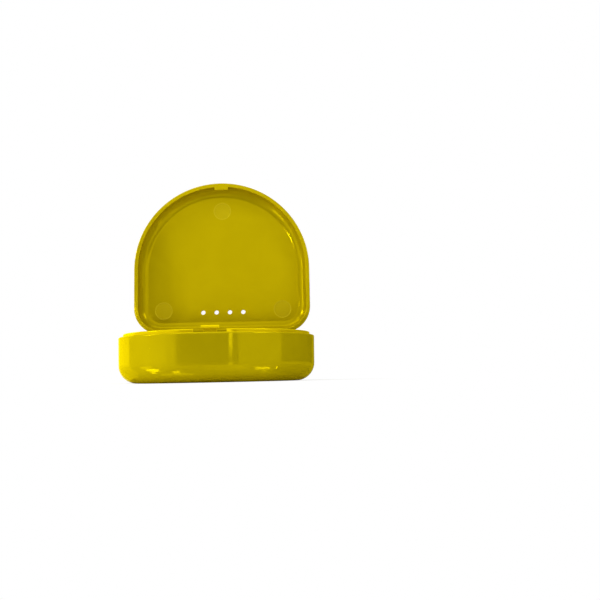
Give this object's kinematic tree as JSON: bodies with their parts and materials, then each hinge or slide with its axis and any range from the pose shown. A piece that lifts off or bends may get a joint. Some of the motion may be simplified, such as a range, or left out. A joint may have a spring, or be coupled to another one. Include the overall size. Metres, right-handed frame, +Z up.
{
  "type": "orthodontic retainer case",
  "caption": "D-shaped hinged pocket case for a dental retainer: deep tray with a lip, shallow vented lid standing open, pinned rear hinges and a snap latch at the arched front.",
  "frame": {"origin": "middle of the tray's flat underside, half way between the arched front and the rear face", "axes": "+Z up, the arched front with the latch faces -Y, the hinges are at +Y, +X is to the right of someone facing the front"},
  "size_m": [0.078, 0.0811, 0.0891],
  "materials": {
    "case_plastic": "polished olive-yellow moulding",
    "pin_steel": "drawn steel wire"
  },
  "bodies": {
    "base": {"base_tray": "case_plastic", "hinge_pin_left": "pin_steel", "hinge_pin_right": "pin_steel"},
    "lid": {"lid_cover": "case_plastic"},
    "tongue": {"latch_tongue": "case_plastic"}
  },
  "joints": [
    {"name": "lid_hinge", "type": "hinge", "parent": "base", "child": "lid", "pos_m": [0, 0.0371, 0.0181], "axis": [1, 0, 0], "range_deg": [0, 92]},
    {"name": "latch_flex", "type": "hinge", "parent": "base", "child": "tongue", "pos_m": [0, -0.02955, 0.014], "axis": [-1, 0, 0], "range_deg": [0, 6], "stiffness_Nm_per_rad": 0.7}
  ]
}
